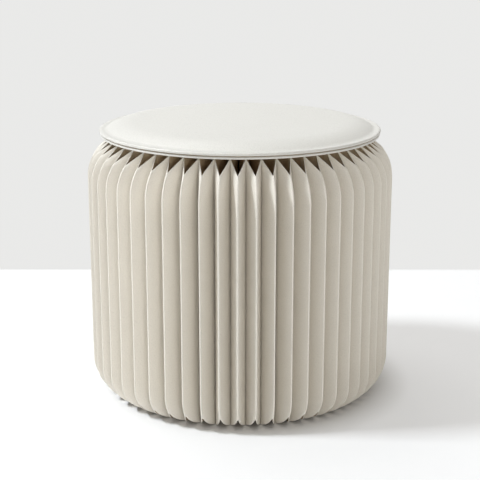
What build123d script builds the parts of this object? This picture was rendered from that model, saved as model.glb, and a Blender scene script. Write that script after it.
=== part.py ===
from build123d import *
import os
from math import asin, atan, cos, pi, radians, sin, sqrt, tan

# Accordion stool: a ring of glued pleats that opens like a book until its two end boards meet
# back to back, with a loose round pad on top. Millimetres, +Z up, floor at Z = 0.
# The pleats turn about the Z axis, and the end boards meet on the +Y side.

# Body
ridge_radius = 180.0
body_height = 308.0
top_corner_radius = 50.0
bottom_corner_radius = 38.0

# Pleats, counted clockwise from board A as seen from above
section_count = 17
pleats_per_section = 3
spread_bias = 0.12
closest_pleats_at = 150.0
hem_radius = 144.5
hem_width = 9.0
nose_width = 1.8
skin_thickness = 0.6
glue_gap = 0.05
top_crease_turn = 40.0
bottom_crease_turn = 36.0
bottom_cut_turn = 60.0
crease_facets = 2

# Paper core behind the pleats
waist_radius = 104.0
waist_width = 6.0
inner_land_radius = 62.0
core_radius = 16.0
land_setback = 5.5
paper_thickness = 0.5

# Spine cloth, rolled up round the axis
spine_thickness = 0.8
spine_gap = 0.1
spine_slit = 3.0

# End boards
board_thickness = 2.5
cover_thickness = 0.5
board_fit = 0.05
meeting_gap = 0.3
board_setback = 2.0

# Magnets in the meeting faces of the boards
magnet_count = 4
magnet_width = 10.0
magnet_length = 20.0
magnet_thickness = 1.2
magnet_edge_distance = 22.0
magnet_pitch = 58.0

# Loose seat pad
pad_radius = 165.0
pad_gap = 0.3
flange_width = 9.0
upper_roll = 3.5
lower_roll = 2.6
lower_roll_inset = 1.0
roll_bevel = 0.9
crown_rise = 9.5
crown_flat_radius = 125.0
crown_facets = 2
leather_thickness = 0.8
stiffener_thickness = 2.0
rim_wall = 1.5
pad_fit = 0.1

# Levels and places that follow from the sizes above
pleat_count = section_count * pleats_per_section
hem_inner = hem_radius - hem_width / 2
hem_outer = hem_radius + hem_width / 2
hem_corner = max(hem_outer - ridge_radius + top_corner_radius, 0)
hem_top = body_height - top_corner_radius + sqrt(top_corner_radius**2 - hem_corner**2)
leg_slope = atan((pi * hem_outer / pleat_count - nose_width / 2) / (ridge_radius - hem_outer))
board_near = meeting_gap / 2 + cover_thickness
board_far = board_near + board_thickness
board_start = core_radius + board_setback
stack_offset = board_far + cover_thickness + glue_gap
pad_floor = body_height + pad_gap
stiffener_floor = pad_floor + leather_thickness + glue_gap
foam_floor = stiffener_floor + stiffener_thickness + glue_gap
flange_floor = pad_floor + lower_roll + glue_gap
flange_top = flange_floor + upper_roll
crown_top = flange_top + crown_rise
crown_radius = pad_radius - flange_width
filling_radius = crown_radius - rim_wall


def share_round(step):
    """Share of the full turn at which pleat edge number step stands."""
    turn = 2 * pi * step / pleat_count
    side = radians(closest_pleats_at)
    return (turn - spread_bias * (sin(turn - side) + sin(side))) / (2 * pi)


def plan_angle(step, radius):
    """Angle of a pleat edge from +Y, clockwise. Next to a board the edges run along its face."""
    start = asin(stack_offset / radius)
    return start + (2 * pi - 2 * start) * share_round(step)


def plan_point(step, radius, shift=0.0):
    """Point in plan on a pleat edge, moved clockwise by shift."""
    angle = plan_angle(step, radius) + shift / radius
    return (radius * sin(angle), radius * cos(angle))


def top_corner_point(turn, inset=0.0):
    """Radius and height on the rounded top corner, turn degrees up from its foot."""
    radius = top_corner_radius - inset
    centre = ridge_radius - top_corner_radius
    level = body_height - top_corner_radius
    return (centre + radius * cos(radians(turn)), level + radius * sin(radians(turn)))


def bottom_corner_point(turn, inset=0.0):
    """Radius and height on the rounded bottom corner, turn degrees down from its head."""
    radius = bottom_corner_radius - inset
    centre = ridge_radius - bottom_corner_radius
    return (centre + radius * cos(radians(turn)), bottom_corner_radius - radius * sin(radians(turn)))


def plane_outside(inside, *corners):
    """Plane through three corners, facing away from a point inside."""
    first, second, third = corners
    normal = (second - first).cross(third - first)
    if normal.dot(inside - first) > 0:
        normal = normal * -1
    return Plane(origin=first, z_dir=normal)


def pleat_corner(pleat, radius, height, shift=0.0):
    """Point at a height over the outer fold of a pleat, moved clockwise by shift."""
    return Vector(*plan_point(pleat + 0.5, radius, shift), height)


def trim_plane(pleat, outer, inner):
    """Plane in which an end of a pleat is cut, through two points given by radius and height."""
    inside = pleat_corner(pleat, hem_radius, body_height / 2)
    near = pleat_corner(pleat, *outer, -nose_width)
    far = pleat_corner(pleat, *outer, nose_width)
    return plane_outside(inside, near, far, pleat_corner(pleat, *inner))


def top_cut(pleat):
    """Plane of the cut edge at the top, from the end of the outer fold to the hems."""
    return trim_plane(pleat, top_corner_point(top_crease_turn), (hem_outer, hem_top))


def bottom_cuts(pleat):
    """Planes of the cut edge at the bottom, round the corner from the end of the outer fold to the hems."""
    edge = [bottom_corner_point(bottom_crease_turn), bottom_corner_point(bottom_cut_turn), (hem_outer, 0)]
    return [trim_plane(pleat, outer, inner) for outer, inner in zip(edge, edge[1:])]


def pleat_wedge(pleat, inset, reach):
    """Solid that fills a pleat up to inset under its surface, running on by reach at its free ends."""
    shift = glue_gap / 2 + inset
    nose = nose_width / 2 - inset * tan(pi / 4 - leg_slope / 2)
    inside = pleat_corner(pleat, hem_radius, body_height / 2)
    steps = [share / crease_facets for share in range(crease_facets + 1)]
    top_run = [top_corner_point(top_crease_turn * step, inset) for step in steps]
    low_run = [bottom_corner_point(bottom_crease_turn * step, inset) for step in steps]
    with BuildPart() as wedge:
        with BuildSketch(Plane.XY.offset(-reach)):
            with BuildLine():
                Polyline(
                    plan_point(pleat, hem_inner - reach, shift),
                    plan_point(pleat, hem_outer, shift),
                    plan_point(pleat + 0.5, ridge_radius - inset, -nose),
                    plan_point(pleat + 0.5, ridge_radius - inset, nose),
                    plan_point(pleat + 1, hem_outer, -shift),
                    plan_point(pleat + 1, hem_inner - reach, -shift),
                    close=True,
                )
            make_face()
        extrude(amount=body_height + 2 * reach)
        for run, hem_level in ((top_run, hem_top), (low_run, 0)):
            left_hem = Vector(*plan_point(pleat, hem_outer, shift), hem_level)
            right_hem = Vector(*plan_point(pleat + 1, hem_outer, -shift), hem_level)
            for start, end in zip(run, run[1:]):
                left = [pleat_corner(pleat, *point, -nose) for point in (start, end)]
                right = [pleat_corner(pleat, *point, nose) for point in (start, end)]
                for corners in ((*left, right[0]), (*left, left_hem), (*right, right_hem)):
                    split(bisect_by=plane_outside(inside, *corners), keep=Keep.BOTTOM)
    return wedge.part


def pleat_skin(pleat):
    """One folded leatherette sheet, its outer fold drawn in along both rounded corners."""
    with BuildPart() as skin:
        add(pleat_wedge(pleat, 0, 0))
        for cut in (top_cut(pleat), *bottom_cuts(pleat)):
            split(bisect_by=cut, keep=Keep.BOTTOM)
        add(pleat_wedge(pleat, skin_thickness, hem_width), mode=Mode.SUBTRACT)
    return skin.part


def web_line(pleat, edge, sign):
    """One paper web in plan: glued to its hem, to its twin, to its neighbour and at the spine."""
    on_hem = sign * (1.5 * glue_gap + skin_thickness)
    on_neighbour = sign * glue_gap / 2
    on_twin = -sign * paper_thickness
    middle = pleat + 0.5
    return [
        plan_point(edge, hem_outer - land_setback, on_hem),
        plan_point(edge, hem_inner, on_hem),
        plan_point(middle, waist_radius + waist_width / 2, on_twin),
        plan_point(middle, waist_radius - waist_width / 2, on_twin),
        plan_point(edge, inner_land_radius, on_neighbour),
        plan_point(middle, core_radius, on_twin),
    ]


def pleat_core(pleat):
    """Two kraft paper webs, glued to each other and to the hems of one pleat."""
    with BuildPart() as core:
        with BuildSketch():
            for edge, sign, inwards in ((pleat, 1, Side.LEFT), (pleat + 1, -1, Side.RIGHT)):
                with BuildLine():
                    web = Polyline(*web_line(pleat, edge, sign))
                    offset(web, amount=paper_thickness, kind=Kind.INTERSECTION, side=inwards)
                make_face()
        extrude(amount=body_height)
        split(bisect_by=top_cut(pleat), keep=Keep.BOTTOM)
    return core.part


def board_slab(inset, near, far, side):
    """Slab of a board's outline, drawn in by inset, between two distances from the meeting plane."""
    outer = ridge_radius - inset
    with BuildPart() as slab:
        with BuildSketch(Plane.YZ.offset(side * near)) as outline:
            with Locations(((board_start + outer) / 2, body_height / 2)):
                Rectangle(outer - board_start, body_height - 2 * inset)
            low = outline.vertices().group_by(Axis.Y)[0].sort_by(Axis.X)[-1]
            fillet(low, bottom_corner_radius - inset)
            high = outline.vertices().group_by(Axis.Y)[-1].sort_by(Axis.X)[-1]
            fillet(high, top_corner_radius - inset)
        extrude(amount=side * (far - near))
    return slab.part


def magnet_blocks(side, spare):
    """Blocks in a column near the outer edge of a board, flush with its meeting face, plus spare."""
    with BuildPart() as blocks:
        with BuildSketch(Plane.YZ.offset(side * (board_near + board_fit))):
            with Locations((ridge_radius - magnet_edge_distance, body_height / 2)):
                with GridLocations(0, magnet_pitch, 1, magnet_count):
                    Rectangle(magnet_width + 2 * spare, magnet_length + 2 * spare)
        extrude(amount=side * (magnet_thickness + spare))
    return blocks.part


def crown_area(drop, reach, floor):
    """Half section under the crown, drop below its surface, out to reach and down to floor."""
    shoulder = []
    for facet in range(crown_facets + 1):
        share = facet / crown_facets
        radius = crown_flat_radius + (crown_radius - crown_flat_radius) * share
        shoulder.append((radius, crown_top - crown_rise * share**2 - drop))
    with BuildSketch(Plane.XZ) as area:
        with BuildLine():
            Polyline((0, crown_top - drop), *shoulder, (crown_radius, floor), (0, floor), close=True)
        make_face()
        with Locations((0, floor)):
            Rectangle(reach, crown_top, align=(Align.MIN, Align.MIN), mode=Mode.INTERSECT)
    return area.sketch


os.makedirs("parts", exist_ok=True)

# Pleats and their paper, three to a section
for section in range(section_count):
    pleats = range(section * pleats_per_section, (section + 1) * pleats_per_section)
    with BuildPart() as section_skin:
        for pleat in pleats:
            add(pleat_skin(pleat))
    section_skin.part.label = f"pleat_skin_{section + 1:02d}"
    export_step(section_skin.part, f"parts/{section_skin.part.label}.step")
    with BuildPart() as section_core:
        for pleat in pleats:
            add(pleat_core(pleat))
    section_core.part.label = f"paper_core_{section + 1:02d}"
    export_step(section_core.part, f"parts/{section_core.part.label}.step")

# Spine cloth, with its slit between the two boards
with BuildPart() as spine:
    with BuildSketch():
        Circle(core_radius - spine_gap)
        Circle(core_radius - spine_gap - spine_thickness, mode=Mode.SUBTRACT)
        with Locations((0, core_radius)):
            Rectangle(spine_slit, core_radius, mode=Mode.SUBTRACT)
    extrude(amount=body_height)
spine.part.label = "spine"
export_step(spine.part, "parts/spine.step")

# End boards, each in a leatherette sleeve that is open at the spine, with magnets let in
for name, side in (("a", 1), ("b", -1)):
    with BuildPart() as end_cover:
        add(board_slab(0, board_near - cover_thickness, board_far + cover_thickness, side))
        add(board_slab(cover_thickness, board_near, board_far, side), mode=Mode.SUBTRACT)
    end_cover.part.label = f"end_cover_{name}"
    export_step(end_cover.part, f"parts/{end_cover.part.label}.step")
    with BuildPart() as end_board:
        add(board_slab(cover_thickness + board_fit, board_near + board_fit, board_far - board_fit, side))
        add(magnet_blocks(side, board_fit), mode=Mode.SUBTRACT)
    end_board.part.label = f"end_board_{name}"
    export_step(end_board.part, f"parts/{end_board.part.label}.step")
    with BuildPart() as magnets:
        add(magnet_blocks(side, 0))
    magnets.part.label = f"magnets_{name}"
    export_step(magnets.part, f"parts/{magnets.part.label}.step")

# Pad, from the floor of its lower cover up
with BuildPart() as seat_bottom_cover:
    with BuildSketch(Plane.XZ) as lower_profile:
        with Locations((crown_radius, pad_floor)):
            Rectangle(flange_width - lower_roll_inset, lower_roll, align=(Align.MIN, Align.MIN))
        chamfer(lower_profile.vertices().group_by(Axis.X)[-1], roll_bevel)
        with Locations((0, pad_floor)):
            Rectangle(crown_radius, leather_thickness, align=(Align.MIN, Align.MIN))
    revolve(axis=Axis.Z)
seat_bottom_cover.part.label = "seat_bottom_cover"
export_step(seat_bottom_cover.part, "parts/seat_bottom_cover.step")

with BuildPart() as seat_board:
    with BuildSketch(Plane.XY.offset(stiffener_floor)):
        Circle(filling_radius - pad_fit)
    extrude(amount=stiffener_thickness)
seat_board.part.label = "seat_board"
export_step(seat_board.part, "parts/seat_board.step")

with BuildPart() as seat_foam:
    add(crown_area(leather_thickness + glue_gap, filling_radius - pad_fit, foam_floor))
    revolve(axis=Axis.Z)
seat_foam.part.label = "seat_foam"
export_step(seat_foam.part, "parts/seat_foam.step")

with BuildPart() as seat_top_cover:
    with BuildSketch(Plane.XZ) as upper_profile:
        with Locations((crown_radius - rim_wall, flange_floor)):
            Rectangle(flange_width + rim_wall, upper_roll, align=(Align.MIN, Align.MIN))
        chamfer(upper_profile.vertices().group_by(Axis.X)[-1], roll_bevel)
        add(crown_area(0, crown_radius, flange_floor))
        add(crown_area(leather_thickness, filling_radius, flange_floor), mode=Mode.SUBTRACT)
    revolve(axis=Axis.Z)
seat_top_cover.part.label = "seat_top_cover"
export_step(seat_top_cover.part, "parts/seat_top_cover.step")
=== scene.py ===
import math

import bmesh
import bpy
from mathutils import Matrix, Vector


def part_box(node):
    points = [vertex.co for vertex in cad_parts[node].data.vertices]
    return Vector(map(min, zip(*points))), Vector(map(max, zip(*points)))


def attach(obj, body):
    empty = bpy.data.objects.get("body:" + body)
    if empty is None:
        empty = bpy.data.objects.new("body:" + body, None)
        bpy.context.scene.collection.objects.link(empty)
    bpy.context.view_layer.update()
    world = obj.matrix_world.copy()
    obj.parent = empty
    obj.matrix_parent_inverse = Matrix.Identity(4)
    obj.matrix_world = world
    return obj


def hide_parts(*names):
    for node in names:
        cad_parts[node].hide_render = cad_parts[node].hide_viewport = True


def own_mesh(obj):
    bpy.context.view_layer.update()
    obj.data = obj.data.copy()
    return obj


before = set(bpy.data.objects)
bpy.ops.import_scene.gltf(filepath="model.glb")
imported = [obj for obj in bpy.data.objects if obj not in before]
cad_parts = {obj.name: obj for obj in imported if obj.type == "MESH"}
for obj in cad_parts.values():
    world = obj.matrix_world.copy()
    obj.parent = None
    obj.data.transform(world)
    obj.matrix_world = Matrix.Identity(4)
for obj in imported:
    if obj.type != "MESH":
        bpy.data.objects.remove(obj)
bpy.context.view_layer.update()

# Body, in metres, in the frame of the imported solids
board_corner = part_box("end_cover_a")[1]
ridge_radius = board_corner.y
body_height = board_corner.z
top_corner_radius = 0.050
bottom_corner_radius = 0.038
top_crease_turn = math.radians(40)
bottom_crease_turn = math.radians(36)

# Pleats, counted clockwise from board A as seen from above
section_names = sorted(name[-2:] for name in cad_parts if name.startswith("pleat_skin_"))
pleats_per_section = 3
pleat_count = len(section_names) * pleats_per_section
spread_bias = 0.12
closest_pleats_at = math.radians(150)
glue_gap = 0.00005
stack_offset = board_corner.x + glue_gap
hem_inner = 0.140
hem_outer = 0.149
hem_top = 0.30425
skin_thickness = 0.0008
fold_width = 0.0013
fold_bulge = 0.0001
fold_tip = 0.0005
tip_taper = 8
leg_bow = 0.0002

# Rows and columns of a pleat's sheet
leg_steps = 6
fold_steps = 3
bottom_rows = 10
straight_rows = 6
top_rows = 18
top_row_crowding = 1.6

# Paper honeycomb
waist_radius = 0.104
waist_width = 0.006
inner_land_radius = 0.062
core_radius = 0.016
land_setback = 0.0055
paper_thickness = 0.0005
web_steps = 7

# Sleeves of the end boards
sleeve_thickness = 0.00045
sleeve_edge = 0.0006
corner_segments = 16
rim_segments = 3

# Seat pad
pad_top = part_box("seat_top_cover")[1].z
pad_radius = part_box("seat_top_cover")[1].x
flange_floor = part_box("seat_top_cover")[0].z
under_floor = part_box("seat_bottom_cover")[0].z
under_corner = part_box("seat_bottom_cover")[1]
flange_width = 0.0068
flange_height = 0.0035
seam_depth = 0.0006
seam_width = 0.0016
groove_width = 0.0008
groove_depth = 0.0040
groove_drop = 0.0005
under_roll_drop = 0.0010
shoulder_width = 0.036
shoulder_power = 2.5
crown_sag = 0.0014
swell_limit = 0.0014
pad_segments = 160
crown_rings = 24
shoulder_rings = 10
roll_rings = 8
leather_thickness = 0.0008

# Swelling of the pad over its foam
cloth_pressure = 4
cloth_frames = 20
sewn_slack = 1e-5

# Finish of the meshes
sheet_crease = math.radians(22)
cushion_crease = math.radians(75)
under_cover_crease = math.radians(60)
rim_angle = math.radians(60)
weld_distance = 1e-6

# Finish of leatherette, paper and board, with painted shade in the pits of the grain
pit_start = 0.35
pit_end = 0.75
pit_shade = 0.10
pit_dullness = 0.15
leather_patch = 0.06
paper_roughness = 0.9
paper_gloss = 0.25
paper_patch = 0.03
paper_mottling = 0.2
fibre_depth = 0.00006
speck_tone = 0.25

# Camera
camera_turn = math.radians(-11.5)
camera_pitch = math.radians(15.25)
camera_distance = 1.45
camera_target = Vector((0, 0, 0.1755))
camera_lens = 89.9

# Floor, backdrop and ambient light
floor_size = 10
floor_gloss = 0.1
floor_white = 0.96
veiled_white = 0.63
veil_glow = 0.35
veil_start = 0.165
veil_end = 0.210
open_floor_start = 0.7
open_floor_end = 1.1
backdrop_start = 0.455
backdrop_blend = 0.01
backdrop_colour = (0.82, 0.82, 0.81, 1)
ambient_colour = (1, 0.98, 0.94, 1)
ambient_strength = 0.40


# Plan of the pleats

def share_round(step):
    """Share of the full turn at which pleat edge number step stands."""
    turn = 2 * math.pi * step / pleat_count
    side = closest_pleats_at
    return (turn - spread_bias * (math.sin(turn - side) + math.sin(side))) / (2 * math.pi)


def plan_angle(step, radius):
    """Angle of a pleat edge from +Y, clockwise. Next to a board the edges run along its face."""
    start = math.asin(stack_offset / radius)
    return start + (2 * math.pi - 2 * start) * share_round(step)


def plan_point(step, radius, height, shift=0.0):
    """Point on a pleat edge at a height, moved clockwise by shift."""
    angle = plan_angle(step, radius) + shift / radius
    return Vector((radius * math.sin(angle), radius * math.cos(angle), height))


# Mesh helpers

def new_piece(name, mesh_builder, materials, thickness=0.0, crease=sheet_crease):
    """Object from a bmesh, thickened inwards if asked, smooth apart from edges sharper than crease.
    The inner face of a thickened sheet takes the second material."""
    mesh = bpy.data.meshes.new(name)
    mesh_builder.to_mesh(mesh)
    mesh_builder.free()
    for material in materials:
        mesh.materials.append(material)
    piece = bpy.data.objects.new(name, mesh)
    bpy.context.scene.collection.objects.link(piece)
    if thickness:
        wall = piece.modifiers.new("wall", "SOLIDIFY")
        wall.thickness = thickness
        wall.offset = -1
        wall.use_even_offset = True
        wall.material_offset = len(materials) - 1
        depsgraph = bpy.context.evaluated_depsgraph_get()
        piece.data = bpy.data.meshes.new_from_object(piece.evaluated_get(depsgraph))
        piece.modifiers.clear()
    mark_creases(piece, crease)
    return piece


def mark_creases(piece, crease):
    """Smooth shading, with sharp edges where the faces turn by more than crease."""
    mesh_builder = bmesh.new()
    mesh_builder.from_mesh(piece.data)
    for face in mesh_builder.faces:
        face.smooth = True
    for edge in mesh_builder.edges:
        edge.smooth = len(edge.link_faces) == 2 and edge.calc_face_angle(0) < crease
    mesh_builder.to_mesh(piece.data)
    mesh_builder.free()


def lay_sheet(mesh_builder, rows):
    """Grid whose points go to the given rows, with a map in metres along and up the sheet."""
    made = bmesh.ops.create_grid(
        mesh_builder, x_segments=len(rows[0]) - 1, y_segments=len(rows) - 1, size=0.5)
    sheet = made["verts"]
    map_place = {}
    for row_number, row in enumerate(rows):
        run = 0.0
        for column, point in enumerate(row):
            vert = sheet[row_number * len(row) + column]
            vert.co = point
            if column:
                run += (point - row[column - 1]).length
            map_place[vert] = (run, point.z)
    layer = mesh_builder.loops.layers.uv.get("sheet") or mesh_builder.loops.layers.uv.new("sheet")
    for vert in sheet:
        for loop in vert.link_loops:
            loop[layer].uv = map_place[vert]
    return sheet


# Pleats

def sheet_levels():
    """Rows up a sheet: radius and height of its fold, height of its hems, width of the fold, and how much
    of the rounded bottom corner its cut edge follows."""
    levels = []
    low_centre = ridge_radius - bottom_corner_radius
    for row in range(bottom_rows):
        share = row / bottom_rows
        turn = bottom_crease_turn * (1 - share)
        radius = low_centre + bottom_corner_radius * math.cos(turn)
        height = bottom_corner_radius * (1 - math.sin(turn))
        levels.append((radius, height, bottom_corner_radius * share, fold_width, (1 - share) ** 2))
    high_foot = body_height - top_corner_radius
    for row in range(straight_rows):
        height = bottom_corner_radius + (high_foot - bottom_corner_radius) * row / straight_rows
        levels.append((ridge_radius, height, height, fold_width, 0))
    for row in range(top_rows + 1):
        share = 1 - (1 - row / top_rows) ** top_row_crowding
        turn = top_crease_turn * share
        radius = ridge_radius - top_corner_radius * (1 - math.cos(turn))
        height = high_foot + top_corner_radius * math.sin(turn)
        fold = fold_tip + (fold_width - fold_tip) * min(1, tip_taper * (1 - share))
        levels.append((radius, height, high_foot + (hem_top - high_foot) * share, fold, 0))
    return levels


def leg_point(hem, fold, share, rounding):
    """Point on a leg of a sheet, a share of the way from its hem to its fold. The lowest points sink to
    the rounded corner."""
    point = hem.lerp(fold, share)
    bow = leg_bow * math.sin(math.pi * share)
    reach = max(point.xy.length - ridge_radius + bottom_corner_radius, 0)
    corner = bottom_corner_radius - math.sqrt(bottom_corner_radius ** 2 - reach ** 2)
    sink = rounding * max(point.z - corner, 0)
    return point + Vector((0, 0, -sink)) + point.xy.normalized().to_3d() * bow


def sheet_row(pleat, radius, height, hem_height, fold, rounding):
    """One row of a folded sheet, from its far hem over the fold to its near hem."""
    far_hem = [plan_point(pleat + 1, r, hem_height, -glue_gap / 2) for r in (hem_inner, hem_outer)]
    near_hem = [plan_point(pleat, r, hem_height, glue_gap / 2) for r in (hem_outer, hem_inner)]
    fold_end = plan_point(pleat + 0.5, radius, height, fold / 2)
    fold_start = plan_point(pleat + 0.5, radius, height, -fold / 2)
    outwards = plan_point(pleat + 0.5, 1, 0)
    row = [far_hem[0]]
    for step in range(leg_steps):
        row.append(leg_point(far_hem[1], fold_end, step / leg_steps, rounding))
    for step in range(fold_steps + 1):
        share = step / fold_steps
        row.append(fold_end.lerp(fold_start, share) + outwards * fold_bulge * math.sin(math.pi * share))
    for step in range(leg_steps - 1, -1, -1):
        row.append(leg_point(near_hem[0], fold_start, step / leg_steps, rounding))
    row.append(near_hem[1])
    return row


def flatten_with_fold(piece, section):
    """The piece turns with its section and is pressed flat as the stool closes."""
    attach(piece, f"section_{section_names[section]}")
    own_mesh(piece)


def section_pleats(section):
    """Numbers of the pleats in a section."""
    return range(section * pleats_per_section, (section + 1) * pleats_per_section)


def make_pleats(section, leatherette, backing):
    """The folded leatherette sheets of one section."""
    mesh_builder = bmesh.new()
    # Marks the fold columns for a painted highlight along the ridges, which also stands for paler pressed
    # folds.
    fold_mask = mesh_builder.verts.layers.float.new("pressed_fold_and_highlight")
    fold_columns = range(1 + leg_steps, 2 + leg_steps + fold_steps)
    for pleat in section_pleats(section):
        rows = [sheet_row(pleat, *level) for level in sheet_levels()]
        for number, vert in enumerate(lay_sheet(mesh_builder, rows)):
            vert[fold_mask] = 1.0 if number % len(rows[0]) in fold_columns else 0.0
    name = section_names[section]
    piece = new_piece(f"pleats_{name}", mesh_builder, (leatherette, backing), skin_thickness)
    flatten_with_fold(piece, section)
    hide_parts(f"pleat_skin_{name}")


# Paper honeycomb

def web_path(pleat, edge, sign):
    """One paper web in plan: glued to its hem, to its twin, to its neighbour and at the spine."""
    on_hem = sign * (1.5 * glue_gap + skin_thickness)
    on_neighbour = sign * glue_gap / 2
    on_twin = -sign * paper_thickness
    middle = pleat + 0.5
    knots = [
        (edge, hem_outer - land_setback, on_hem),
        (edge, hem_inner, on_hem),
        (middle, waist_radius + waist_width / 2, on_twin),
        (middle, waist_radius - waist_width / 2, on_twin),
        (edge, inner_land_radius, on_neighbour),
        (middle, core_radius, on_twin),
    ]
    path = []
    for (step, radius, shift), (next_step, next_radius, next_shift) in zip(knots, knots[1:]):
        count = 1 if step == next_step else web_steps
        for number in range(count):
            share = number / count
            ease = share * share * (3 - 2 * share)
            here = radius + (next_radius - radius) * share
            path.append((step + (next_step - step) * ease, here, shift + (next_shift - shift) * ease))
    path.append(knots[-1])
    return path if sign < 0 else path[::-1]


def make_honeycomb(section, kraft):
    """The kraft paper webs of one section."""
    mesh_builder = bmesh.new()
    for pleat in section_pleats(section):
        for edge, sign in ((pleat, 1), (pleat + 1, -1)):
            path = web_path(pleat, edge, sign)
            lay_sheet(mesh_builder, [
                [plan_point(step, radius, height, shift) for step, radius, shift in path]
                for height in (0.0, body_height)
            ])
    name = section_names[section]
    piece = new_piece(f"honeycomb_{name}", mesh_builder, (kraft,), paper_thickness)
    flatten_with_fold(piece, section)
    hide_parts(f"paper_core_{name}")


# End boards

def make_sleeve(side, leatherette):
    """Leatherette sleeve of an end board, open at the spine, with softened edges."""
    node = f"end_cover_{side}"
    low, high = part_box(node)
    mesh_builder = bmesh.new()
    outline = [(low.y, low.z), (high.y, low.z), (high.y, high.z), (low.y, high.z)]
    corners = [mesh_builder.verts.new((low.x, y, z)) for y, z in outline]
    mesh_builder.faces.new(corners)
    for corner, radius in ((corners[1], bottom_corner_radius), (corners[2], top_corner_radius)):
        bmesh.ops.bevel(mesh_builder, geom=[corner], offset=radius, offset_type="OFFSET",
                        affect="VERTICES", segments=corner_segments, profile=0.5, material=-1)
    raised = bmesh.ops.extrude_face_region(mesh_builder, geom=mesh_builder.faces[:])
    lifted = [item for item in raised["geom"] if isinstance(item, bmesh.types.BMVert)]
    bmesh.ops.translate(mesh_builder, verts=lifted, vec=(high.x - low.x, 0, 0))
    bmesh.ops.recalc_face_normals(mesh_builder, faces=mesh_builder.faces)
    mouth = [face for face in mesh_builder.faces if face.normal.y < -0.9]
    bmesh.ops.delete(mesh_builder, geom=mouth, context="FACES")
    rims = [edge for edge in mesh_builder.edges
            if len(edge.link_faces) == 2 and edge.calc_face_angle() > rim_angle]
    bmesh.ops.bevel(mesh_builder, geom=rims, offset=sleeve_edge, offset_type="OFFSET", affect="EDGES",
                    segments=rim_segments, profile=0.5, material=-1)
    layer = mesh_builder.loops.layers.uv.new("sheet")
    for face in mesh_builder.faces:
        for loop in face.loops:
            loop[layer].uv = (loop.vert.co.y + loop.vert.co.x, loop.vert.co.z)
    piece = new_piece(f"board_sleeve_{side}", mesh_builder, (leatherette,), sleeve_thickness)
    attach(piece, f"end_{side}")
    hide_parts(node)


# Seat pad

def spin_profile(mesh_builder, profile):
    """Turns a half section about the axis of the stool and closes its poles."""
    verts = [mesh_builder.verts.new((radius, 0, height)) for radius, height in profile]
    edges = [mesh_builder.edges.new(pair) for pair in zip(verts, verts[1:])]
    bmesh.ops.spin(mesh_builder, geom=verts + edges, cent=(0, 0, 0), axis=(0, 0, 1),
                   angle=2 * math.pi, steps=pad_segments, use_merge=True)
    bmesh.ops.remove_doubles(mesh_builder, verts=mesh_builder.verts, dist=weld_distance)
    bmesh.ops.recalc_face_normals(mesh_builder, faces=mesh_builder.faces)


def rolled_edge(radius, low, high):
    """Half round section of a rolled edge, from its top down."""
    roll = (high - low) / 2
    turns = [math.pi * ring / roll_rings for ring in range(roll_rings + 1)]
    return [(radius - roll + roll * math.sin(turn), low + roll * (1 + math.cos(turn))) for turn in turns]


def groove_wall(radius, outer, inner):
    """Step in the face of a rolled edge, from a height at its rim to a height farther in."""
    return [(radius - groove_depth, outer), (radius - groove_depth, inner)]


def backing_paper_faces(mesh_builder, low, high):
    """Gives the second material, the brown backing paper, to the faces between two heights, such as the
    walls of the groove between the rolls.
    """
    for face in mesh_builder.faces:
        heights = [vert.co.z for vert in face.verts]
        if min(heights) > low - weld_distance and max(heights) < high + weld_distance:
            face.material_index = 1


def swell(piece, sewn_from):
    """Puffs the leather over the foam by cloth simulation. It stays sewn from a radius outwards. The foam
    is even all round, so each ring rises by its mean lift, scaled to a limit, and none sinks."""
    scene = bpy.context.scene
    rest = [vert.co.copy() for vert in piece.data.vertices]
    sewn = piece.vertex_groups.new(name="sewn")
    held = [number for number, place in enumerate(rest)
            if place.xy.length > sewn_from - sewn_slack or place.z < flange_floor + seam_depth]
    sewn.add(held, 1.0, "REPLACE")
    cloth = piece.modifiers.new("swelling", "CLOTH")
    cloth.settings.vertex_group_mass = sewn.name
    cloth.settings.use_pressure = True
    cloth.settings.uniform_pressure_force = cloth_pressure
    cloth.settings.effector_weights.gravity = 0
    for step in range(1, cloth_frames + 1):
        scene.frame_set(step)
    settled = piece.evaluated_get(bpy.context.evaluated_depsgraph_get()).data
    rings = {}
    for number, place in enumerate(rest):
        rings.setdefault((round(place.xy.length, 5), round(place.z, 5)), []).append(number)
    lifts = {}
    for place, ring in rings.items():
        lift = sum(settled.vertices[number].co.z - rest[number].z for number in ring) / len(ring)
        lifts[place] = max(lift, 0)
    kept_share = swell_limit / max(max(lifts.values()), swell_limit)
    for place, ring in rings.items():
        for number in ring:
            piece.data.vertices[number].co.z += lifts[place] * kept_share
    piece.modifiers.remove(cloth)
    piece.vertex_groups.remove(sewn)
    scene.frame_set(1)


def make_cushion(leatherette, backing):
    """Upper cover of the pad over its foam: a low crown, a soft shoulder, a seam and a rolled edge."""
    crown_edge = pad_radius - flange_width
    flange_top = flange_floor + flange_height
    crown_height = pad_top - crown_sag
    flat_radius = crown_edge - shoulder_width
    profile = [(flat_radius * ring / crown_rings, crown_height) for ring in range(crown_rings)]
    for ring in range(shoulder_rings + 1):
        share = ring / shoulder_rings
        drop = (crown_height - flange_top + seam_depth) * share ** shoulder_power
        profile.append((flat_radius + shoulder_width * share, crown_height - drop))
    profile.append((crown_edge + seam_width, flange_top))
    roll_floor = flange_floor - groove_drop + groove_width / 2
    profile += rolled_edge(pad_radius, roll_floor, flange_top)
    profile += groove_wall(pad_radius, roll_floor, flange_floor)
    profile.append((0, flange_floor))
    mesh_builder = bmesh.new()
    spin_profile(mesh_builder, profile)
    backing_paper_faces(mesh_builder, flange_floor, roll_floor)
    piece = new_piece("seat_cushion", mesh_builder, (leatherette, backing), crease=cushion_crease)
    swell(piece, crown_edge)
    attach(piece, "seat_pad")
    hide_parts("seat_top_cover", "seat_foam")


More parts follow.
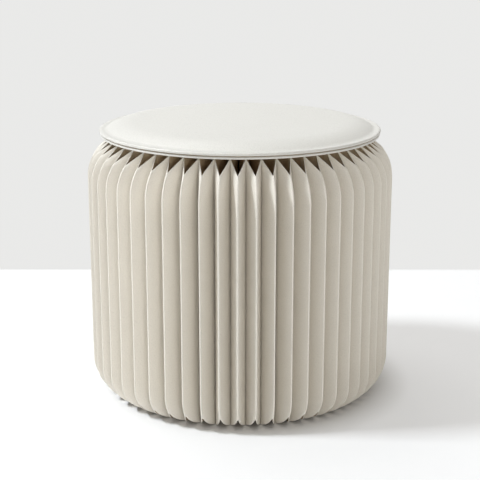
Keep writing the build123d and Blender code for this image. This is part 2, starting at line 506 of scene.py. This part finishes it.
def make_under_cover(leatherette, backing):
    """Lower cover of the pad, with its own thinner rolled edge."""
    dish = under_corner.x - flange_width
    sheet_top = under_floor + leather_thickness
    roll_top = under_corner.z - groove_drop - groove_width / 2
    roll_floor = under_floor - under_roll_drop
    profile = [(0, sheet_top), (dish - seam_width, sheet_top), (dish, under_corner.z)]
    profile += groove_wall(under_corner.x, under_corner.z, roll_top)
    profile += rolled_edge(under_corner.x, roll_floor, roll_top)
    profile += groove_wall(under_corner.x, roll_floor, under_floor)
    profile.append((0, under_floor))
    mesh_builder = bmesh.new()
    spin_profile(mesh_builder, profile)
    backing_paper_faces(mesh_builder, roll_top, under_corner.z)
    piece = new_piece("seat_under_cover", mesh_builder, (leatherette, backing), crease=under_cover_crease)
    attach(piece, "seat_pad")
    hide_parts("seat_bottom_cover")


# Shader node helpers

def add_node(tree, kind, inputs=None, **settings):
    """New node with its settings, and its inputs set to values or linked to sockets."""
    node = tree.nodes.new(kind)
    for name, value in settings.items():
        setattr(node, name, value)
    for name, value in (inputs or {}).items():
        if isinstance(value, bpy.types.NodeSocket):
            tree.links.new(value, node.inputs[name])
        else:
            node.inputs[name].default_value = value
    return node


def effect_group(name, inputs, outputs):
    """Empty shader node group with named sockets, and its input and output nodes."""
    group = bpy.data.node_groups.new(name, "ShaderNodeTree")
    for label, kind in inputs.items():
        group.interface.new_socket(label, in_out="INPUT", socket_type=kind)
    for label, kind in outputs.items():
        group.interface.new_socket(label, in_out="OUTPUT", socket_type=kind)
    return group, group.nodes.new("NodeGroupInput"), group.nodes.new("NodeGroupOutput")


def place_group(material, group, inputs):
    """Places an effect group in a material."""
    return add_node(material.node_tree, "ShaderNodeGroup", inputs, node_tree=group)


# Effects shared by the materials

def make_grain_effect():
    """Pebbled leather grain of a given size in metres, as a height and as pits between the pebbles."""
    group, given, made = effect_group(
        "leather_grain",
        {"Vector": "NodeSocketVector", "Pebble size": "NodeSocketFloat"},
        {"Height": "NodeSocketFloat", "Pits": "NodeSocketFloat"})
    size = given.outputs["Pebble size"]
    scale = add_node(group, "ShaderNodeMath", {0: 1.0, 1: size}, operation="DIVIDE").outputs[0]
    wander = add_node(group, "ShaderNodeTexNoise", {"Vector": given.outputs["Vector"], "Scale": scale})
    shove = add_node(group, "ShaderNodeVectorMath", {0: wander.outputs["Color"], 1: size},
                     operation="MULTIPLY")
    place = add_node(group, "ShaderNodeVectorMath", {0: given.outputs["Vector"], 1: shove.outputs[0]})
    pebbles = add_node(group, "ShaderNodeTexVoronoi", {"Vector": place.outputs[0], "Scale": scale},
                       feature="SMOOTH_F1")
    pits = add_node(group, "ShaderNodeMapRange", {"Value": pebbles.outputs["Distance"],
                                                  "From Min": pit_start, "From Max": pit_end})
    dome = add_node(group, "ShaderNodeMath", {0: 1.0, 1: pebbles.outputs["Distance"]},
                    operation="SUBTRACT")
    group.links.new(dome.outputs[0], made.inputs["Height"])
    group.links.new(pits.outputs[0], made.inputs["Pits"])
    return group


def make_mottle_effect():
    """Slow change of tone over patches of a given size, lighter and darker by an amount."""
    group, given, made = effect_group(
        "soft_mottle",
        {"Color": "NodeSocketColor", "Vector": "NodeSocketVector", "Patch size": "NodeSocketFloat",
         "Amount": "NodeSocketFloat"},
        {"Color": "NodeSocketColor"})
    size = given.outputs["Patch size"]
    scale = add_node(group, "ShaderNodeMath", {0: 1.0, 1: size}, operation="DIVIDE").outputs[0]
    patches = add_node(group, "ShaderNodeTexNoise", {"Vector": given.outputs["Vector"], "Scale": scale,
                                                     "Detail": 3.0})
    centred = add_node(group, "ShaderNodeMath", {0: patches.outputs["Fac"], 1: 0.5}, operation="SUBTRACT")
    tone = add_node(group, "ShaderNodeMath", {0: centred.outputs[0], 1: given.outputs["Amount"], 2: 1.0},
                    operation="MULTIPLY_ADD")
    shaded = add_node(group, "ShaderNodeVectorMath", {0: given.outputs["Color"], 1: tone.outputs[0]},
                      operation="MULTIPLY")
    group.links.new(shaded.outputs[0], made.inputs["Color"])
    return group


def make_fibre_effect():
    """Pulp fibres of paper and board, as a tone about 0.5 and a height."""
    group, given, made = effect_group(
        "paper_fibres",
        {"Vector": "NodeSocketVector", "Fibre length": "NodeSocketFloat"},
        {"Tone": "NodeSocketFloat", "Height": "NodeSocketFloat"})
    length = given.outputs["Fibre length"]
    scale = add_node(group, "ShaderNodeMath", {0: 1.0, 1: length}, operation="DIVIDE").outputs[0]
    drawn = add_node(group, "ShaderNodeMapping", {"Vector": given.outputs["Vector"], "Scale": (4, 4, 1)})
    fibres = add_node(group, "ShaderNodeTexNoise", {"Vector": drawn.outputs[0], "Scale": scale,
                                                    "Detail": 6.0, "Roughness": 0.7})
    specks = add_node(group, "ShaderNodeTexNoise", {"Vector": given.outputs["Vector"], "Scale": scale,
                                                    "Detail": 2.0})
    tone = add_node(group, "ShaderNodeMath", {0: fibres.outputs["Fac"], 1: specks.outputs["Fac"],
                                              2: speck_tone}, operation="MULTIPLY_ADD")
    group.links.new(tone.outputs[0], made.inputs["Tone"])
    group.links.new(fibres.outputs["Fac"], made.inputs["Height"])
    return group


# Materials

def new_material(name, roughness):
    """Material with its Principled surface."""
    material = bpy.data.materials.new(name)
    material.use_nodes = True
    surface = material.node_tree.nodes["Principled BSDF"]
    surface.inputs["Roughness"].default_value = roughness
    return material, material.node_tree, surface


def add_bump(tree, surface, height, depth):
    """Relief of a real depth in metres."""
    bump = add_node(tree, "ShaderNodeBump", {"Height": height, "Distance": depth, "Strength": 1.0})
    tree.links.new(bump.outputs[0], surface.inputs["Normal"])


def make_leatherette(name, colour, roughness, coordinates, pebble, depth, mottling, pressed_fold_and_highlight_lift=0.0):
    """Embossed leatherette. Its folds may be painted paler where an attribute marks them: partly a painted
    highlight along the ridges, partly the paling of pressed folds.
    """
    material, tree, surface = new_material(name, roughness)
    if coordinates == "sheet":
        vector = add_node(tree, "ShaderNodeUVMap", uv_map="sheet").outputs[0]
    else:
        vector = add_node(tree, "ShaderNodeTexCoord").outputs["Object"]
    grain = place_group(material, grain_effect, {"Vector": vector, "Pebble size": pebble})
    mottle = place_group(material, mottle_effect, {"Color": (*colour, 1), "Vector": vector,
                                                   "Patch size": leather_patch, "Amount": mottling})
    # Painted shade: the pits between the pebbles are darkened.
    pit_painted_shade = add_node(tree, "ShaderNodeMath", {0: grain.outputs["Pits"], 1: -pit_shade, 2: 1.0},
                        operation="MULTIPLY_ADD")
    base = add_node(tree, "ShaderNodeVectorMath", {0: mottle.outputs[0], 1: pit_painted_shade.outputs[0]},
                    operation="MULTIPLY").outputs[0]
    # Painted highlight: the marked folds are made paler, partly for the light on the ridges, partly for
    # pressed folds.
    if pressed_fold_and_highlight_lift:
        fold_mask = add_node(tree, "ShaderNodeAttribute", attribute_name="pressed_fold_and_highlight").outputs["Fac"]
        lift = add_node(tree, "ShaderNodeMath", {0: fold_mask, 1: pressed_fold_and_highlight_lift, 2: 1.0},
                        operation="MULTIPLY_ADD")
        base = add_node(tree, "ShaderNodeVectorMath", {0: base, 1: lift.outputs[0]},
                        operation="MULTIPLY").outputs[0]
    tree.links.new(base, surface.inputs["Base Color"])
    dull = add_node(tree, "ShaderNodeMath", {0: grain.outputs["Pits"], 1: pit_dullness, 2: roughness},
                    operation="MULTIPLY_ADD")
    tree.links.new(dull.outputs[0], surface.inputs["Roughness"])
    add_bump(tree, surface, grain.outputs["Height"], depth)
    return material


def make_paper(name, colour, fibre_length, contrast):
    """Uncoated paper or pulp board."""
    material, tree, surface = new_material(name, paper_roughness)
    surface.inputs["Specular IOR Level"].default_value = paper_gloss
    vector = add_node(tree, "ShaderNodeTexCoord").outputs["Object"]
    fibres = place_group(material, fibre_effect, {"Vector": vector, "Fibre length": fibre_length})
    mottle = place_group(material, mottle_effect, {"Color": (*colour, 1), "Vector": vector,
                                                   "Patch size": paper_patch, "Amount": paper_mottling})
    centred = add_node(tree, "ShaderNodeMath", {0: fibres.outputs["Tone"], 1: 0.5}, operation="SUBTRACT")
    tone = add_node(tree, "ShaderNodeMath", {0: centred.outputs[0], 1: contrast, 2: 1.0},
                    operation="MULTIPLY_ADD")
    base = add_node(tree, "ShaderNodeVectorMath", {0: mottle.outputs[0], 1: tone.outputs[0]},
                    operation="MULTIPLY")
    tree.links.new(base.outputs[0], surface.inputs["Base Color"])
    add_bump(tree, surface, fibres.outputs["Height"], fibre_depth)
    return material


def make_spine_cloth():
    """Plain woven bookbinding cloth."""
    thread_density = 500.0
    thread_waver = 0.6
    weave_depth = 0.0002
    shaded_thread = (0.28, 0.25, 0.20, 1)
    raised_thread = (0.50, 0.46, 0.39, 1)
    material, tree, surface = new_material("spine_cloth", roughness=0.85)
    surface.inputs["Sheen Weight"].default_value = 0.2
    vector = add_node(tree, "ShaderNodeTexCoord").outputs["Object"]
    heights = []
    for direction in ("X", "Z"):
        threads = add_node(tree, "ShaderNodeTexWave", {"Vector": vector, "Scale": thread_density,
                                                       "Distortion": thread_waver},
                           bands_direction=direction)
        heights.append(threads.outputs["Fac"])
    weave = add_node(tree, "ShaderNodeMath", {0: heights[0], 1: heights[1]}, operation="MAXIMUM")
    shade = add_node(tree, "ShaderNodeValToRGB", {"Fac": weave.outputs[0]})
    shade.color_ramp.elements[0].color = shaded_thread
    shade.color_ramp.elements[1].color = raised_thread
    tree.links.new(shade.outputs[0], surface.inputs["Base Color"])
    add_bump(tree, surface, weave.outputs[0], weave_depth)
    return material


def make_magnet_plating():
    """Bright nickel plating with faint tumbling marks."""
    nickel = (0.66, 0.65, 0.62, 1)
    mark_density = 900.0
    polished = 0.2
    scuffed = 0.45
    material, tree, surface = new_material("magnet_plating", roughness=0.3)
    surface.inputs["Base Color"].default_value = nickel
    surface.inputs["Metallic"].default_value = 1.0
    vector = add_node(tree, "ShaderNodeTexCoord").outputs["Object"]
    marks = add_node(tree, "ShaderNodeTexNoise", {"Vector": vector, "Scale": mark_density, "Detail": 4.0})
    rough = add_node(tree, "ShaderNodeMapRange", {"Value": marks.outputs["Fac"], "To Min": polished,
                                                  "To Max": scuffed})
    tree.links.new(rough.outputs[0], surface.inputs["Roughness"])
    return material


def seen_rays(tree):
    """Socket that is 1 on rays that look straight at the stage, or see it in a gloss or through glass."""
    rays = add_node(tree, "ShaderNodeLightPath")
    glossy = add_node(tree, "ShaderNodeMath", {0: rays.outputs["Is Camera Ray"],
                                               1: rays.outputs["Is Glossy Ray"]}, operation="MAXIMUM")
    both = add_node(tree, "ShaderNodeMath", {0: glossy.outputs[0], 1: rays.outputs["Is Transmission Ray"]},
                    operation="MAXIMUM")
    return both.outputs[0]


def make_floor_paint():
    """White floor, with paler shadows away from the stool where it is looked at, and none farther off.
    Behind the stool the camera sees an even pale backdrop in its place."""
    material, tree, surface = new_material("floor_paint", roughness=0.9)
    surface.inputs["Specular IOR Level"].default_value = floor_gloss
    surface.inputs["Emission Color"].default_value = (1, 1, 1, 1)
    looked_at = seen_rays(tree)
    place = add_node(tree, "ShaderNodeTexCoord").outputs["Object"]
    reach = add_node(tree, "ShaderNodeVectorMath", {0: place}, operation="LENGTH")
    clear = add_node(tree, "ShaderNodeMapRange", {"Value": reach.outputs["Value"], "From Min": veil_start,
                                                  "From Max": veil_end})
    veil = add_node(tree, "ShaderNodeMath", {0: looked_at, 1: clear.outputs[0]}, operation="MULTIPLY")
    paint = add_node(tree, "ShaderNodeMapRange", {"Value": veil.outputs[0], "To Min": floor_white,
                                                  "To Max": veiled_white})
    open_floor = add_node(tree, "ShaderNodeMapRange", {
        "Value": reach.outputs["Value"], "From Min": open_floor_start, "From Max": open_floor_end,
        "To Min": veil_glow, "To Max": 1.0})
    glow = add_node(tree, "ShaderNodeMath", {0: veil.outputs[0], 1: open_floor.outputs[0]},
                    operation="MULTIPLY")
    tree.links.new(paint.outputs[0], surface.inputs["Base Color"])
    tree.links.new(glow.outputs[0], surface.inputs["Emission Strength"])
    turned = add_node(tree, "ShaderNodeMapping", {"Vector": place, "Rotation": (0, 0, -camera_turn)})
    depth = add_node(tree, "ShaderNodeSeparateXYZ", {0: turned.outputs[0]})
    beyond = add_node(tree, "ShaderNodeMapRange", {"Value": depth.outputs["Y"], "From Min": backdrop_start,
                                                   "From Max": backdrop_start + backdrop_blend})
    seen = add_node(tree, "ShaderNodeMath", {0: beyond.outputs[0], 1: looked_at}, operation="MULTIPLY")
    backdrop = add_node(tree, "ShaderNodeEmission", {"Color": backdrop_colour})
    both = add_node(tree, "ShaderNodeMixShader", {0: seen.outputs[0], 1: surface.outputs[0],
                                                  2: backdrop.outputs[0]})
    tree.links.new(both.outputs[0], tree.nodes["Material Output"].inputs["Surface"])
    return material


grain_effect = make_grain_effect()
mottle_effect = make_mottle_effect()
fibre_effect = make_fibre_effect()
# The pleats' folds carry a painted highlight, partly also for pressed folds.
pleat_leatherette = make_leatherette(
    "pleat_leatherette", colour=(0.84, 0.798, 0.722), roughness=0.5, coordinates="sheet", pebble=0.0009,
    depth=0.00004, mottling=0.05, pressed_fold_and_highlight_lift=0.03)
pad_leatherette = make_leatherette(
    "pad_leatherette", colour=(0.712, 0.696, 0.65), roughness=0.4, coordinates="object", pebble=0.0009,
    depth=0.00006, mottling=0.03)
pleat_backing = make_paper("pleat_backing", colour=(0.72, 0.58, 0.40), fibre_length=0.004, contrast=0.3)
kraft_paper = make_paper("kraft_paper", colour=(0.68, 0.52, 0.34), fibre_length=0.004, contrast=0.4)
greyboard = make_paper("greyboard", colour=(0.36, 0.34, 0.31), fibre_length=0.003, contrast=0.8)
spine_cloth = make_spine_cloth()
magnet_plating = make_magnet_plating()

# Pieces

for section in range(len(section_names)):
    make_pleats(section, pleat_leatherette, pleat_backing)
    make_honeycomb(section, kraft_paper)
for side in "ab":
    make_sleeve(side, pleat_leatherette)
make_cushion(pad_leatherette, pleat_backing)
make_under_cover(pad_leatherette, pleat_backing)
node_finishes = {
    "end_board_a": greyboard, "end_board_b": greyboard, "seat_board": greyboard,
    "magnets_a": magnet_plating, "magnets_b": magnet_plating, "spine": spine_cloth,
}
for node, finish in node_finishes.items():
    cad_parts[node].material_slots[0].material = finish


# Stage

def direction_from(turn, rise):
    """Direction out from the stool, turned from the camera's side and raised, in radians."""
    angle = camera_turn + turn
    flat = math.cos(rise)
    return Vector((math.sin(angle) * flat, -math.cos(angle) * flat, math.sin(rise)))


def add_lamp(name, turn, rise, distance, size, power, colour, mirrored=True):
    """Square soft lamp aimed at the middle of the stool. One that isn't mirrored makes no gloss."""
    lamp = bpy.data.lights.new(name, "AREA")
    lamp.size = size
    lamp.energy = power
    lamp.color = colour
    holder = bpy.data.objects.new(name, lamp)
    towards = direction_from(turn, rise)
    holder.location = camera_target + towards * distance
    holder.rotation_euler = towards.to_track_quat("Z", "Y").to_euler()
    holder.visible_glossy = mirrored
    bpy.context.scene.collection.objects.link(holder)


def make_floor():
    """Floor that the stool stands on."""
    mesh_builder = bmesh.new()
    bmesh.ops.create_grid(mesh_builder, x_segments=1, y_segments=1, size=floor_size)
    floor = new_piece("floor", mesh_builder, (make_floor_paint(),))


def light_world():
    """Even ambient light. The camera and reflections see the pale backdrop in its place."""
    world = bpy.data.worlds.new("studio")
    world.use_nodes = True
    tree = world.node_tree
    ambient = tree.nodes["Background"]
    ambient.inputs["Color"].default_value = ambient_colour
    ambient.inputs["Strength"].default_value = ambient_strength
    horizon = add_node(tree, "ShaderNodeBackground", {"Color": backdrop_colour})
    sky = add_node(tree, "ShaderNodeMixShader", {0: seen_rays(tree), 1: ambient.outputs[0],
                                                 2: horizon.outputs[0]})
    tree.links.new(sky.outputs[0], tree.nodes["World Output"].inputs["Surface"])
    bpy.context.scene.world = world


def place_camera():
    """Camera at the photograph's angle."""
    camera_data = bpy.data.cameras.new("camera")
    camera_data.lens = camera_lens
    camera = bpy.data.objects.new("camera", camera_data)
    back = direction_from(0, camera_pitch)
    camera.location = camera_target + back * camera_distance
    camera.rotation_euler = back.to_track_quat("Z", "Y").to_euler()
    bpy.context.scene.collection.objects.link(camera)
    bpy.context.scene.camera = camera


make_floor()
add_lamp("key_lamp", turn=math.radians(-85), rise=math.radians(50), distance=5.0, size=0.8, power=186,
         colour=(0.91, 0.955, 1))
add_lamp("back_lamp", turn=math.radians(-150), rise=math.radians(60), distance=4.0, size=2.5, power=36,
         colour=(1, 1, 1))
add_lamp("fill_lamp", turn=math.radians(15), rise=math.radians(8), distance=6.0, size=1.2, power=42,
         colour=(1, 0.97, 0.92), mirrored=False)
light_world()
place_camera()
bpy.context.scene.view_settings.view_transform = "Standard"
